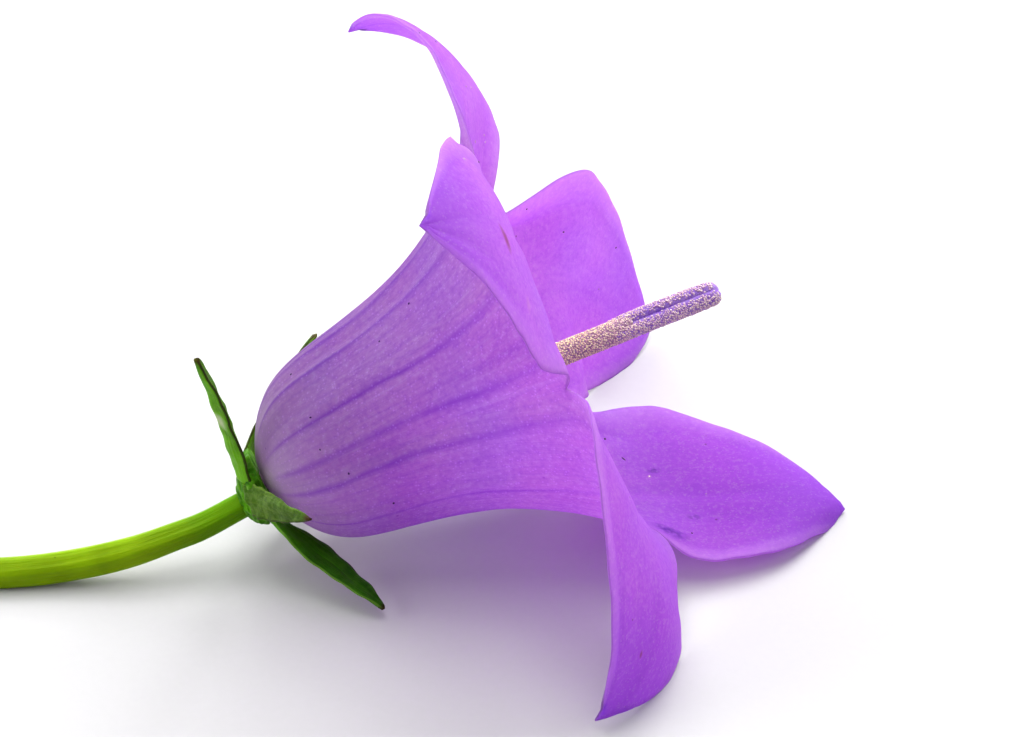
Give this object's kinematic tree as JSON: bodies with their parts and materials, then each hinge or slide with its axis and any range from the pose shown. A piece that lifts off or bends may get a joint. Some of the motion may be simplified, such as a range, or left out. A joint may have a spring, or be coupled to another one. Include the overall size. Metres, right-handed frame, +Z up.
{
  "type": "campanula flower stem",
  "caption": "Cut stem with a violet bell-shaped bloom lying on its side, its pointed lobes rolled outwards round a pollen-coated style.",
  "frame": {"origin": "on the surface that the bloom lies on, under the middle of its bounding box", "axes": "+X from the cut end of the stem towards the bloom's open mouth, +Y to the bloom's left as it faces along +X, +Z up"},
  "size_m": [0.0694, 0.038, 0.0295],
  "materials": {
    "stem": "fresh yellow-green stalk with fine lengthwise ribs, satin",
    "sepals": "dark green, dull, a little crumpled, with purplish brown tips",
    "petals": "thin translucent violet petal with darker lengthwise veins and a soft sheen",
    "style": "mauve rod coated with fine grains of pollen, matt",
    "stamens": "withered straw-coloured threads on pale hairy feet, matt"
  },
  "bodies": {
    "root": {"pedicel": "stem", "calyx": "sepals", "corolla": "petals", "style": "style", "stamens": "stamens"}
  },
  "joints": []
}
